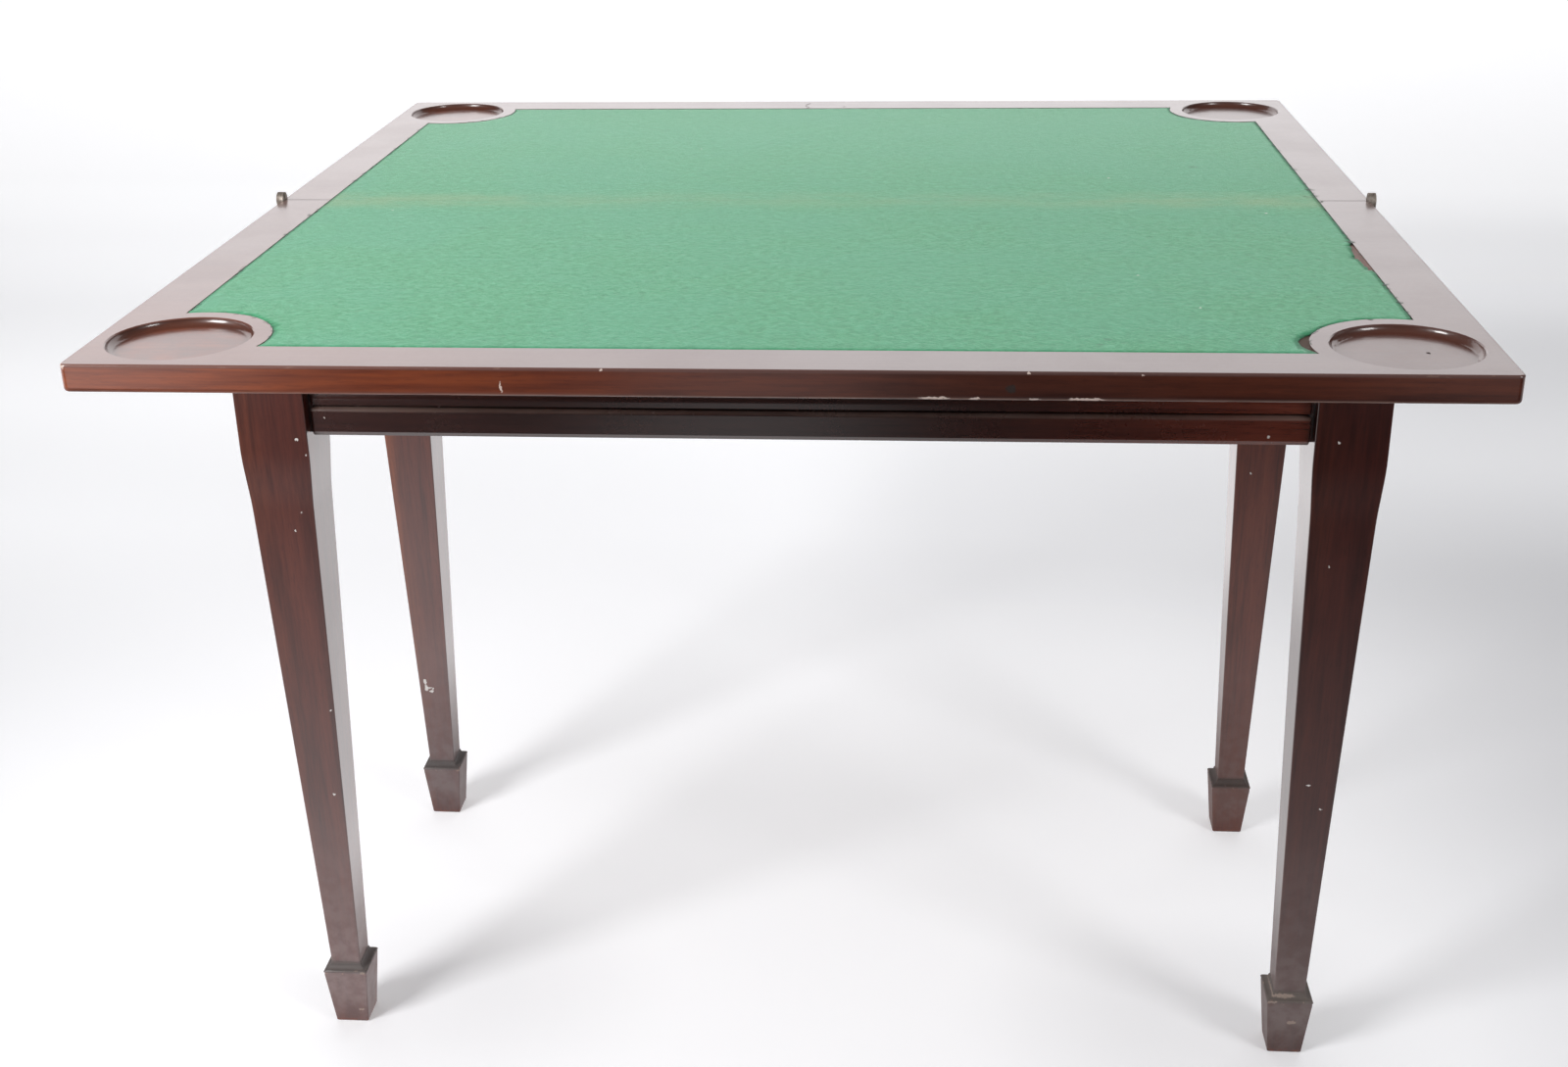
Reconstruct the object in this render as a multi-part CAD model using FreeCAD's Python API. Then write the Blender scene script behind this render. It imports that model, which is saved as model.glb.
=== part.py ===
import FreeCAD, Part
import math
import os
from FreeCAD import Vector

# Flip-top card table, open as in use. Millimetres, +Z up.
# X runs along the hinge line, Y from the sitter at the front to the back.
# The origin is on the floor under the middle of the open top.
# The front leaf slides back on the frame; the back leaf folds over onto it.

# Overall sizes; the folded top overhangs the frame alike at both ends and at both sides
table_height = 708.0
top_width = 914.0
leaf_depth = 457.0
leaf_thickness = 19.0
end_overhang = 14.0
side_overhang = 20.5

# Clearances
seam_gap = 0.3
fold_gap = 0.3
rest_gap = 0.3
slide_gap = 0.3
glue_gap = 0.1
pin_clearance = 0.05
hinge_gap = 0.15

# Leaf edges
leaf_corner_radius = 5.0
leaf_upper_arris_radius = 1.5
leaf_lower_arris_radius = 3.0

# Baize let into the leaves
border_width = 41.5
baize_recess_depth = 1.6
baize_thickness = 1.5
baize_edge_gap = 0.4

# Counter wells in the four corners
well_radius = 47.5
well_depth = 5.0
well_cove_radius = 4.6
well_rim_radius = 0.8
well_inset = 58.5
well_collar_width = 12.5

# Legs
leg_block = 55.5
leg_block_height = 130.0
shoulder_height = 55.0
shaft_top = 50.0
shaft_bottom = 26.0
leg_arris_radius = 0.8

# Spade feet
foot_bottom = 28.7
foot_rim_height = 54.5
foot_rim_thickness = 3.0
foot_rim_lip = 1.1
foot_rim_ease = 0.5
foot_cove_radius = 4.5
foot_fillet = 1.0

# Rails and their tenons
rail_height = 121.0
rail_thickness = 20.0
rail_setback = 14.0
tenon_length = 22.0
tenon_thickness = 8.0
tenon_shoulder = 12.0

# Mouldings planted on the rails
lower_moulding_height = 22.9
lower_moulding_projection = 8.0
lower_moulding_round = 3.6
lower_moulding_chamfer_depth = 1.5
lower_moulding_chamfer_rise = 3.2
upper_moulding_height = 11.7
upper_moulding_projection = 5.5
upper_moulding_sweep_depth = 2.6
upper_moulding_sweep_rise = 7.1
upper_moulding_chamfer = 0.4
moulding_quirk = 1.2
moulding_corner_radius = 3.0
moulding_end_gap = 2.2

# Corner braces
brace_thickness = 18.0
brace_height = 40.0
brace_drop = 52.0
brace_leg_gap = 2.0

# Centre bearer between the long rails
bearer_width = 45.0
bearer_height = 32.0
bearer_tenon_length = 8.0
bearer_tenon_shoulder = 8.0

# Slide: a grooved guide on the frame takes a tongued runner under the front leaf
guide_thickness = 28.0
guide_height = 46.0
groove_depth = 12.0
groove_width = 12.6
groove_drop = 13.4
runner_thickness = 26.0
runner_height = 30.0

# Screws
screw_head_radius = 3.6
screw_head_height = 2.6
screw_shank_radius = 2.0
screw_tip_radius = 0.3
screw_slot_width = 0.9
screw_slot_depth = 0.9
screw_tip_cover = 5.0
screw_sink = 0.3
brace_screw_inset = 11.0
brace_screw_spread = 20.0
brace_screw_grip = 6.0
brace_screw_bite = 12.0
guide_screw_height = 10.0
guide_screw_bite = 18.0
runner_screw_inset = 22.0
runner_counterbore = 8.0

# Hinges let into the leaf ends
knuckle_radius = 6.5
knuckle_inboard = 2.0
knuckle_outboard = 3.6
knuckle_notch_gap = 0.4
hinge_pin_radius = 2.0
pin_head_radius = 2.8
pin_head_height = 0.5
plate_length = 45.0
plate_width = 11.0
plate_cover = 2.0
plate_thickness = 4.0
web_drop = 3.5
web_thickness = 1.6
web_reach = 6.0
hinge_screw_length = 16.0
hinge_screw_head_radius = 3.0
hinge_screw_shank_radius = 1.5
hinge_screw_margin = 5.0

# Levels and half sizes worked out from the sizes above
surface = table_height
leaf_bottom = surface - leaf_thickness
frame_top = leaf_bottom - rest_gap
rail_bottom = frame_top - rail_height
hinge_level = surface + fold_gap / 2
half_top = top_width / 2
half_length = half_top - end_overhang
half_depth = leaf_depth / 2 - side_overhang
leg_x = half_length - leg_block / 2
leg_y = half_depth - leg_block / 2
rail_out_x = half_length - rail_setback
rail_out_y = half_depth - rail_setback
rail_in_x = rail_out_x - rail_thickness
rail_in_y = rail_out_y - rail_thickness
leg_in_x = half_length - leg_block
leg_in_y = half_depth - leg_block
guide_out = leg_in_x
guide_in = guide_out - guide_thickness
groove_top = frame_top - groove_drop
groove_bottom = groove_top - groove_width
well_x = half_top - well_inset
well_y = leaf_depth - well_inset
foot_height = foot_rim_height + foot_rim_thickness + foot_cove_radius + foot_fillet
slide_travel = leaf_depth / 2
knuckle_clear = knuckle_radius + knuckle_notch_gap + hinge_gap
hinge_screw_places = (knuckle_clear + 2 * hinge_screw_margin, plate_length - 2 * hinge_screw_margin)

X = Vector(1, 0, 0)
Y = Vector(0, 1, 0)
Z = Vector(0, 0, 1)
ORIGIN = Vector(0, 0, 0)


def box(x, y, z):
    """A box between two limits on each axis, in either order."""
    low = Vector(min(x), min(y), min(z))
    return Part.makeBox(max(x) - min(x), max(y) - min(y), max(z) - min(z), low)


def rod(radius, start, direction, length):
    """A round bar from start along direction."""
    return Part.makeCylinder(radius, length, start, direction)


def prism(points, push):
    """A polygon pushed along a vector."""
    wire = Part.makePolygon(points + [points[0]])
    return Part.Face(wire).extrude(push)


def mirrored(shape, normal):
    """The shape's mirror image in the plane through the origin."""
    return shape.mirror(ORIGIN, normal)


def edges_where(shape, test):
    """The edges whose middle point passes the test."""
    found = []
    for edge in shape.Edges:
        middle = edge.valueAt((edge.FirstParameter + edge.LastParameter) / 2)
        if test(edge, middle):
            found.append(edge)
    return found


def runs_along(edge, axis):
    """True for a straight edge parallel to the axis."""
    ends = edge.Vertexes
    if len(ends) != 2:
        return False
    line = ends[1].Point.sub(ends[0].Point)
    return line.Length > 0 and abs(abs(line.normalize().dot(axis)) - 1) < 1e-6


def near(value, target):
    return abs(value - target) < 1e-3


def export(name, shape):
    """Write one sub-part as STEP."""
    shape.removeSplitter().exportStep(os.path.join("parts", name + ".step"))


# Screws


def screw(
    seat, direction, length, head_radius=screw_head_radius, shank_radius=screw_shank_radius
):
    """A slotted countersunk screw whose head's face is at seat and whose point goes along direction."""
    head = Part.makeCone(head_radius, shank_radius, screw_head_height, seat, direction)
    shank_length = length - screw_head_height - 2 * shank_radius
    shank_start = seat + direction * screw_head_height
    shank = rod(shank_radius, shank_start, direction, shank_length)
    point_start = shank_start + direction * shank_length
    point = Part.makeCone(shank_radius, screw_tip_radius, 2 * shank_radius, point_start, direction)
    body = head.fuse([shank, point])
    across = Z if abs(direction.dot(Z)) < 0.9 else Y
    side = direction.cross(across)
    low = seat - side * head_radius - across * (screw_slot_width / 2)
    corners = [low, low + side * 2 * head_radius]
    corners += [corners[1] + across * screw_slot_width, low + across * screw_slot_width]
    slot = prism(corners, direction * screw_slot_depth)
    return body.cut(slot)


def screw_hole(
    seat, direction, length, head_radius=screw_head_radius, shank_radius=screw_shank_radius, lead=screw_sink
):
    """The room that such a screw takes, with an open lead of the head's radius in front of it."""
    wide = head_radius + glue_gap
    narrow = shank_radius + glue_gap
    head = Part.makeCone(wide, narrow, screw_head_height, seat, direction)
    shank = rod(narrow, seat, direction, length + glue_gap)
    entry = rod(wide, seat - direction * lead, direction, lead)
    return head.fuse([shank, entry])


# Legs


def leg_half_outline():
    """The leg's half outline in the XZ plane, from the middle of its top to that of its foot."""
    block = leg_block / 2
    top = shaft_top / 2
    bottom = shaft_bottom / 2
    block_end = Vector(block, 0, frame_top - leg_block_height)
    shaft_start = block_end + Vector(top - block, 0, -shoulder_height)
    shaft_end = Vector(bottom, 0, foot_height)
    taper = (shaft_end - shaft_start).normalize()
    shoulder_ends = [block_end, shaft_start]
    shoulder = Part.BSplineCurve()
    shoulder.interpolate(Points=shoulder_ends, InitialTangent=Z * -1, FinalTangent=taper)

    fillet_end = shaft_end + X * foot_fillet
    cove_start = fillet_end - Z * foot_fillet
    cove_centre = cove_start + X * foot_cove_radius
    cove_end = cove_centre - Z * foot_cove_radius
    cove_middle = cove_centre - (X + Z) * (foot_cove_radius * math.sqrt(0.5))
    bead_middle = cove_end + Vector(foot_rim_lip, 0, -foot_rim_thickness / 2)
    bead_end = cove_end + Vector(foot_rim_lip - foot_rim_ease, 0, -foot_rim_thickness)

    line = Part.LineSegment
    pieces = [
        line(Z * frame_top, X * block + Z * frame_top),
        line(X * block + Z * frame_top, block_end),
        shoulder,
        line(shaft_start, shaft_end),
        line(shaft_end, fillet_end),
        line(fillet_end, cove_start),
        Part.Arc(cove_start, cove_middle, cove_end),
        Part.Arc(cove_end, bead_middle, bead_end),
        line(bead_end, X * (foot_bottom / 2)),
        line(X * (foot_bottom / 2), ORIGIN),
    ]
    return [piece.toShape() for piece in pieces]


def leg_blank():
    """One square leg with its shoulder, taper and spade foot, standing on the origin."""
    half = leg_half_outline()
    edges = half + [mirrored(edge, X) for edge in half]
    face = Part.Face(Part.Wire(Part.__sortEdges__(edges)))
    front_view = face.extrude(Y * leg_block).translated(Y * (-leg_block / 2))
    side_view = front_view.rotated(ORIGIN, Z, 90)
    leg = front_view.common(side_view)

    def upper_arris(edge, middle):
        on_corner = near(abs(middle.x), abs(middle.y))
        return on_corner and edge.BoundBox.ZMin > foot_height - foot_fillet / 2

    return leg.makeFillet(leg_arris_radius, edges_where(leg, upper_arris))


def tenon(along_x, side):
    """One rail's tenon at its +X or +Y end; side is the sign of the rail's own position."""
    low = rail_bottom + tenon_shoulder
    high = frame_top - tenon_shoulder
    if along_x:
        middle = side * (rail_in_y + rail_out_y) / 2
        limits = (middle - tenon_thickness / 2, middle + tenon_thickness / 2)
        return box((leg_in_x, leg_in_x + tenon_length), limits, (low, high))
    middle = side * (rail_in_x + rail_out_x) / 2
    limits = (middle - tenon_thickness / 2, middle + tenon_thickness / 2)
    return box(limits, (leg_in_y, leg_in_y + tenon_length), (low, high))


def mortise(along_x, side):
    """The hole for a tenon, larger by the glue gap all round."""
    room = tenon(along_x, side).BoundBox
    x_limits = (room.XMin - glue_gap, room.XMax + glue_gap)
    y_limits = (room.YMin - glue_gap, room.YMax + glue_gap)
    return box(x_limits, y_limits, (room.ZMin - glue_gap, room.ZMax + glue_gap))


def back_right_leg():
    """The leg at +X +Y, mortised for both rails and drilled for the guide's screw."""
    leg = leg_blank().translated(Vector(leg_x, leg_y, 0))
    seat, direction, length = guide_screw_line(1, 1)
    return leg.cut([mortise(True, 1), mortise(False, 1), screw_hole(seat, direction, length)])


# Rails and mouldings


def long_rail():
    """The back rail along X, between the legs, with its tenons and the bearer's mortise."""
    z_limits = (rail_bottom, frame_top)
    rail = box((-leg_in_x, leg_in_x), (rail_in_y, rail_out_y), z_limits)
    right = tenon(True, 1)
    rail = rail.fuse([right, mirrored(right, X)])
    holes = [bearer_mortise()]
    for side in (-1, 1):
        seat, direction, length = brace_screw_line(True, side, 1)
        holes.append(screw_hole(seat, direction, length))
    return rail.cut(holes)


def short_rail():
    """The right rail along Y, between the legs, with its tenons."""
    z_limits = (rail_bottom, frame_top)
    rail = box((rail_in_x, rail_out_x), (-leg_in_y, leg_in_y), z_limits)
    back = tenon(False, 1)
    rail = rail.fuse([back, mirrored(back, Y)])
    holes = []
    for side in (-1, 1):
        seat, direction, length = brace_screw_line(False, 1, side)
        holes.append(screw_hole(seat, direction, length))
    return rail.cut(holes)


def profiled_block(back, reach, span, bottom, height, chamfer, sweep):
    """A block along Y whose face at +X has a chamfer below and a round or a flatter sweep above."""
    chamfer_depth, chamfer_rise = chamfer
    depth, rise = sweep
    top = bottom + height
    radius = (depth * depth + rise * rise) / (2 * depth)
    half_turn = math.atan2(rise, radius - depth) / 2
    shoulder = Vector(reach, 0, top - rise)
    crown = Vector(reach - depth, 0, top)
    middle = shoulder + Vector(radius * (math.cos(half_turn) - 1), 0, radius * math.sin(half_turn))
    corners = [crown, Vector(back, 0, top), Vector(back, 0, bottom)]
    corners += [Vector(reach - chamfer_depth, 0, bottom), Vector(reach, 0, bottom + chamfer_rise), shoulder]
    edges = [Part.LineSegment(a, b).toShape() for a, b in zip(corners, corners[1:])]
    edges.append(Part.Arc(shoulder, middle, crown).toShape())
    return Part.Face(Part.Wire(edges)).extrude(Y * (2 * span)).translated(Y * -span)


def moulding(half_run, face, bottom, height, projection, chamfer, sweep):
    """A strip along X on a rail's face at +Y, its profile returned at both ends."""
    front = face + projection
    strip = box((-half_run, half_run), (face, front), (bottom, bottom + height))
    corners = edges_where(strip, lambda e, m: runs_along(e, Z) and near(m.y, front))
    strip = strip.makeFillet(moulding_corner_radius, corners)
    long_side = profiled_block(0, front, half_run, bottom, height, chamfer, sweep)
    end = profiled_block(-half_run, half_run, front, bottom, height, chamfer, sweep)
    return strip.common(long_side.rotated(ORIGIN, Z, 90)).common(end).common(mirrored(end, X))


def rail_mouldings(half_run, face):
    """The lower and the upper strip for a rail face at +Y."""
    height = lower_moulding_height
    chamfer = (lower_moulding_chamfer_depth, lower_moulding_chamfer_rise)
    sweep = (lower_moulding_round, lower_moulding_round)
    lower = moulding(half_run, face, rail_bottom, height, lower_moulding_projection, chamfer, sweep)
    bottom = rail_bottom + lower_moulding_height + moulding_quirk
    height = upper_moulding_height
    chamfer = (upper_moulding_chamfer, upper_moulding_chamfer)
    sweep = (upper_moulding_sweep_depth, upper_moulding_sweep_rise)
    upper = moulding(half_run, face, bottom, height, upper_moulding_projection, chamfer, sweep)
    return lower, upper


# Inner frame


def brace_reach():
    """The two sums of x and y that bound the back right brace."""
    outer = leg_in_x + leg_in_y - brace_leg_gap * math.sqrt(2)
    return outer - brace_thickness * math.sqrt(2), outer


def brace_levels():
    top = frame_top - brace_drop
    return top - brace_height, top


def brace_screw_line(into_long_rail, side_x, side_y):
    """Seat, direction and length of a brace screw, square to the rail that it enters."""
    inner, outer = brace_reach()
    low, high = brace_levels()
    middle = (low + high) / 2
    length = brace_screw_grip + brace_screw_bite
    if into_long_rail:
        x = inner - rail_in_y + brace_screw_inset
        y = rail_in_y - brace_screw_grip
        return Vector(side_x * x, side_y * y, middle - brace_screw_spread / 2), Y * side_y, length
    x = rail_in_x - brace_screw_grip
    y = inner - rail_in_x + brace_screw_inset
    return Vector(side_x * x, side_y * y, middle + brace_screw_spread / 2), X * side_x, length


def back_right_brace():
    """A diagonal board across the back right corner, glued and screwed to both rails."""
    inner, outer = brace_reach()
    low, high = brace_levels()
    points = [
        Vector(inner - rail_in_y, rail_in_y, low),
        Vector(outer - rail_in_y, rail_in_y, low),
        Vector(rail_in_x, outer - rail_in_x, low),
        Vector(rail_in_x, inner - rail_in_x, low),
    ]
    brace = prism(points, Z * (high - low))
    for into_long_rail in (True, False):
        seat, direction, length = brace_screw_line(into_long_rail, 1, 1)
        brace = brace.cut(screw_hole(seat, direction, length, lead=brace_thickness))
    return brace


def bearer_blank(length, shrink):
    """The bearer's body or, for its tenons, the same less a shoulder all round."""
    z_limits = (frame_top - bearer_height + shrink, frame_top - shrink)
    x_limits = (-bearer_width / 2 + shrink, bearer_width / 2 - shrink)
    return box(x_limits, (-length, length), z_limits)


def centre_bearer():
    """The tie between the long rails that carries the middle of the leaves."""
    body = bearer_blank(rail_in_y, 0)
    return body.fuse(bearer_blank(rail_in_y + bearer_tenon_length, bearer_tenon_shoulder))


def bearer_mortise():
    """The hole for the bearer's tenon in the back rail."""
    tenon_end = rail_in_y + bearer_tenon_length + glue_gap
    return bearer_blank(tenon_end, bearer_tenon_shoulder - glue_gap)


def guide_screw_line(side_x, side_y):
    """Seat, direction and length of a screw that holds a slide guide to a leg."""
    overlap = (leg_in_y + rail_in_y) / 2
    height = frame_top - guide_height + guide_screw_height
    seat = Vector(side_x * (guide_in + screw_sink), side_y * overlap, height)
    return seat, X * side_x, guide_thickness - screw_sink + guide_screw_bite


def right_guide():
    """The slide guide inside the right legs, grooved for the runner's tongue."""
    guide = box((guide_in, guide_out), (-rail_in_y, rail_in_y), (frame_top - guide_height, frame_top))
    groove = box((guide_in, guide_in + groove_depth), (-rail_in_y, rail_in_y), (groove_bottom, groove_top))
    guide = guide.cut(groove)
    for side in (-1, 1):
        seat, direction, length = guide_screw_line(1, side)
        guide = guide.cut(screw_hole(seat, direction, length))
    return guide


# Front leaf's runners


def runner_limits():
    """The runner's two ends, set by the rails that stop it."""
    front = -rail_in_y + slide_gap
    back = rail_in_y - slide_gap - slide_travel
    return front, back


def runner_screw_line(side_x, place):
    """Seat, direction and length of a screw up through the runner into the front leaf."""
    front, back = runner_limits()
    y = front + runner_screw_inset if place < 0 else back - runner_screw_inset
    x = side_x * (guide_in - slide_gap - runner_thickness / 2)
    bottom = leaf_bottom - runner_height
    tip = surface - baize_recess_depth - screw_tip_cover
    seat = Vector(x, y, bottom + runner_counterbore)
    return seat, Z, tip - seat.z


def right_runner():
    """The batten under the front leaf whose tongue runs in the right guide."""
    front, back = runner_limits()
    outer = guide_in - slide_gap
    body = box((outer - runner_thickness, outer), (front, back), (leaf_bottom - runner_height, leaf_bottom))
    tongue_x = (outer - glue_gap, guide_in + groove_depth - slide_gap)
    tongue = box(tongue_x, (front, back), (groove_bottom + slide_gap, groove_top - slide_gap))
    runner = body.fuse(tongue)
    for place in (-1, 1):
        seat, direction, length = runner_screw_line(1, place)
        runner = runner.cut(screw_hole(seat, direction, length, lead=runner_counterbore))
    return runner


# Leaves


def baize_outline_tool(edge_gap, low, high):
    """The cloth's plan on the back leaf: a rectangle to the seam, less a round bite at each well."""
    reach_x = half_top - border_width - edge_gap
    reach_y = leaf_depth - border_width - edge_gap
    sheet = box((-reach_x, reach_x), (seam_gap / 2, reach_y), (low, high))
    bite_radius = well_radius + well_collar_width + edge_gap
    for side in (-1, 1):
        sheet = sheet.cut(rod(bite_radius, Vector(side * well_x, well_y, low), Z, high - low))
    return sheet


def well_tool(side):
    """The dished hollow of one well on the back leaf: straight wall, coved foot and eased rim."""
    low = surface - well_depth
    centre = Vector(side * well_x, well_y, low)
    hollow = rod(well_radius, centre, Z, well_depth + well_rim_radius)
    foot = edges_where(hollow, lambda e, m: near(m.z, low))
    hollow = hollow.makeFillet(well_cove_radius, foot)
    rim_low = Vector(side * well_x, well_y, surface - well_rim_radius)
    rim = Part.makeCone(well_radius, well_radius + well_rim_radius, well_rim_radius, rim_low, Z)
    return hollow.fuse(rim)


def back_leaf():
    """The back leaf: a board recessed for the baize, with two wells and a hinge mortise at each end."""
    board = box((-half_top, half_top), (seam_gap / 2, leaf_depth), (leaf_bottom, surface))
    corners = edges_where(board, lambda e, m: runs_along(e, Z) and near(m.y, leaf_depth))
    board = board.makeFillet(leaf_corner_radius, corners)

    for level, radius in ((surface, leaf_upper_arris_radius), (leaf_bottom, leaf_lower_arris_radius)):
        arrises = edges_where(board, lambda e, m: near(m.z, level) and not near(m.y, seam_gap / 2))
        board = board.makeFillet(radius, arrises)
    recess = baize_outline_tool(0, surface - baize_recess_depth, surface)
    seam_x = half_top - border_width
    open_seam = box((-seam_x, seam_x), (0, seam_gap), (surface - baize_recess_depth, surface))
    tools = [recess, open_seam, well_tool(-1), well_tool(1), hinge_mortise(), mirrored(hinge_mortise(), X)]
    for place in hinge_screw_places:
        seat, direction, length = hinge_screw_line(place)
        hole = screw_hole(seat, direction, length, hinge_screw_head_radius, hinge_screw_shank_radius)
        tools += [hole, mirrored(hole, X)]
    return board.cut(tools)


def front_leaf():
    """The front leaf: the back leaf's mirror image, drilled below for the runners' screws."""
    leaf = mirrored(back_leaf(), Y)
    for side in (-1, 1):
        for place in (-1, 1):
            seat, direction, length = runner_screw_line(side, place)
            leaf = leaf.cut(screw_hole(seat, direction, length))
    return leaf


def back_baize():
    """The back half of the baize, a hair below the wood."""
    low = surface - baize_recess_depth
    return baize_outline_tool(baize_edge_gap, low, low + baize_thickness)


# Hinges


def knuckle_span():
    """The knuckle's inner and outer ends along X."""
    return half_top - knuckle_inboard, half_top + knuckle_outboard


def plate_levels():
    top = surface - plate_cover
    return top - plate_width, top


def back_plate_outline(grow):
    """The back plate in the end of the back leaf, round at its far end."""
    low, high = plate_levels()
    radius = plate_width / 2 + grow
    middle = (low + high) / 2
    inner = half_top - plate_thickness - grow
    start = seam_gap / 2
    round_middle = plate_length - plate_width / 2
    bar = box((inner, half_top), (start, round_middle), (middle - radius, middle + radius))
    end = rod(radius, Vector(inner, round_middle, middle), X, half_top - inner)
    return bar.fuse(end)


def web_box(x_limits, drop):
    """A web on the back side, from a drop below the hinge line to just under the knuckle."""
    low = hinge_level - knuckle_clear - web_thickness
    return box(x_limits, (seam_gap / 2, web_reach), (low, hinge_level - drop))


def hinge_mortise():
    """The room for plate and knuckle in the right end of the back leaf."""
    inner, outer = knuckle_span()
    gap = knuckle_notch_gap
    notch = rod(knuckle_radius + gap, Vector(inner - gap, 0, hinge_level), X, outer - inner + gap)
    return back_plate_outline(glue_gap).fuse(notch)


def ring(start, end, bore):
    """One knuckle ring about the hinge line."""
    disc = rod(knuckle_radius, Vector(start, 0, hinge_level), X, end - start)
    hole = rod(bore, Vector(start, 0, hinge_level), X, end - start)
    return disc, hole


def ring_limits():
    """The three rings' limits along X, from inner to outer."""
    inner, outer = knuckle_span()
    width = (outer - inner - 2 * hinge_gap) / 3
    first = (inner, inner + width)
    second = (first[1] + hinge_gap, first[1] + hinge_gap + width)
    third = (second[1] + hinge_gap, outer)
    return first, second, third


def hinge_screw_line(place):
    """Seat, direction and length of a screw into the right end of the back leaf."""
    low, high = plate_levels()
    seat = Vector(half_top - screw_sink, place, (low + high) / 2)
    return seat, X * -1, hinge_screw_length


def screwed(plate):
    """The plate with its two countersunk holes."""
    for place in hinge_screw_places:
        seat, direction, length = hinge_screw_line(place)
        hole = screw_hole(seat, direction, length, hinge_screw_head_radius, hinge_screw_shank_radius)
        plate = plate.cut(hole)
    return plate


def hollowed_plate():
    """The back plate, hollowed round the knuckle."""
    inner, outer = knuckle_span()
    start = Vector(inner - hinge_gap, 0, hinge_level)
    return back_plate_outline(0).cut(rod(knuckle_clear, start, X, outer - inner + hinge_gap))


def back_hinge():
    """The right hinge's back leaf: a plate with the middle ring, free to turn on the pin."""
    middle = ring_limits()[1]
    disc, hole = ring(middle[0], middle[1], hinge_pin_radius + pin_clearance)
    foot = web_box((half_top - plate_thickness, middle[1]), knuckle_clear)
    body = hollowed_plate().fuse([foot, web_box(middle, web_drop), disc]).cut(hole)
    return screwed(body)


def front_hinge():
    """The right hinge's front leaf: a plate with the two outer rings, which hold the pin."""
    first, second, third = ring_limits()
    parts = [web_box((half_top - plate_thickness, third[1]), knuckle_clear)]
    holes = []
    for limits in (first, third):
        disc, hole = ring(limits[0], limits[1], hinge_pin_radius)
        parts += [disc, web_box(limits, web_drop)]
        holes.append(hole)
    body = hollowed_plate().fuse(parts).cut(holes)
    return mirrored(screwed(body), Y)


def hinge_pin():
    """The right hinge's pin, with a low riveted head outside."""
    inner, outer = knuckle_span()
    stem = rod(hinge_pin_radius, Vector(inner, 0, hinge_level), X, outer - inner)
    head_start = Vector(outer, 0, hinge_level)
    head = Part.makeCone(pin_head_radius, hinge_pin_radius, pin_head_height, head_start, X)
    return stem.fuse(head)


def back_hinge_screws():
    """The four screws that hold the hinges to the back leaf."""
    screws = []
    for place in hinge_screw_places:
        seat, direction, length = hinge_screw_line(place)
        one = screw(seat, direction, length, hinge_screw_head_radius, hinge_screw_shank_radius)
        screws += [one, mirrored(one, X)]
    return Part.Compound(screws)


# Assembly


def four_corners(name, shape):
    """Export a back right piece and its three mirror images."""
    export(name + "_back_right", shape)
    export(name + "_back_left", mirrored(shape, X))
    export(name + "_front_right", mirrored(shape, Y))
    export(name + "_front_left", mirrored(mirrored(shape, X), Y))


def two_sides(name, shape, normal, first, second):
    """Export a piece and its mirror image."""
    export(name + first, shape)
    export(name + second, mirrored(shape, normal))


def grouped_screws(lines):
    """Separate screws in one group."""
    return Part.Compound([screw(seat, direction, length) for seat, direction, length in lines])


def build():
    os.makedirs("parts", exist_ok=True)

    four_corners("leg", back_right_leg())
    four_corners("corner_brace", back_right_brace())
    two_sides("rail", long_rail(), Y, "_back", "_front")
    two_sides("rail", short_rail(), X, "_right", "_left")

    lower, upper = rail_mouldings(leg_in_x - moulding_end_gap, rail_out_y)
    two_sides("moulding_lower", lower, Y, "_back", "_front")
    two_sides("moulding_upper", upper, Y, "_back", "_front")
    lower, upper = rail_mouldings(leg_in_y - moulding_end_gap, rail_out_x)
    two_sides("moulding_lower", lower.rotated(ORIGIN, Z, -90), X, "_right", "_left")
    two_sides("moulding_upper", upper.rotated(ORIGIN, Z, -90), X, "_right", "_left")

    export("centre_bearer", centre_bearer())
    two_sides("slide_guide", right_guide(), X, "_right", "_left")

    sides = [(x, y) for x in (-1, 1) for y in (-1, 1)]
    export("guide_screws", grouped_screws([guide_screw_line(x, y) for x, y in sides]))
    brace_lines = [brace_screw_line(long_one, x, y) for x, y in sides for long_one in (True, False)]
    export("brace_screws", grouped_screws(brace_lines))

    export("front_leaf", front_leaf())
    export("baize_front_half", mirrored(back_baize(), Y))
    two_sides("slide_runner", right_runner(), X, "_right", "_left")
    export("runner_screws", grouped_screws([runner_screw_line(x, y) for x, y in sides]))
    two_sides("hinge_front", front_hinge(), X, "_right", "_left")
    two_sides("hinge_pin", hinge_pin(), X, "_right", "_left")
    export("hinge_screws_front", mirrored(back_hinge_screws(), Y))

    export("back_leaf", back_leaf())
    export("baize_back_half", back_baize())
    two_sides("hinge_back", back_hinge(), X, "_right", "_left")
    export("hinge_screws_back", back_hinge_screws())


build()
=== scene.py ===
import math
import random

import bmesh
import bpy
from mathutils import Matrix, Vector, noise


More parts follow.
